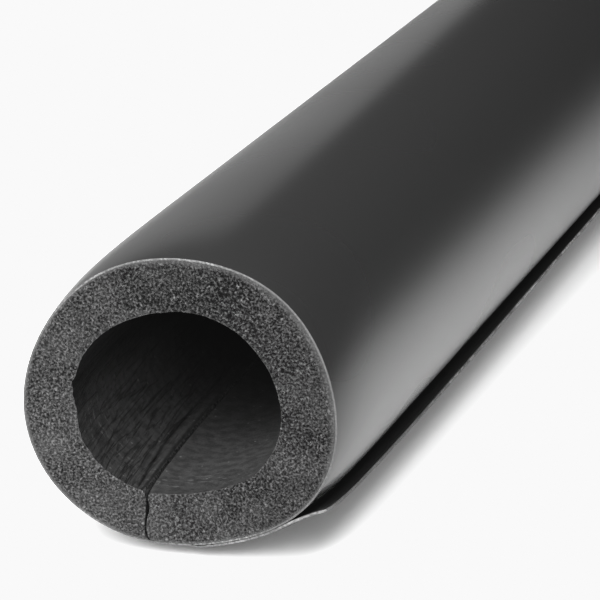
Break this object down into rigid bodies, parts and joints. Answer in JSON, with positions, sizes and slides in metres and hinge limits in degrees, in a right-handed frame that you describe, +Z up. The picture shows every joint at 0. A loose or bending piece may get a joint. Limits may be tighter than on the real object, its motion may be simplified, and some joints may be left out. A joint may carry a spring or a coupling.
{
  "type": "pipe insulation tube",
  "caption": "Slit foam tube with a bonded plastic jacket and an adhesive overlap flap, for lagging a pipe, lying on its side.",
  "frame": {"origin": "centre of the bounding box in X and Y, on the floor that the tube lies on", "axes": "+Y along the tube away from the end that the picture shows, +Z up, +X to the right seen from that end, the side that the free lap points to"},
  "size_m": [0.0792, 1, 0.0731],
  "materials": {
    "foam": "cut closed-cell elastomeric foam, matte",
    "jacket": "smooth black sheet, satin gloss",
    "adhesive": "black adhesive, matte"
  },
  "bodies": {
    "root": {"foam_tube": "foam", "jacket": "jacket", "lap_adhesive": "adhesive"}
  },
  "joints": []
}
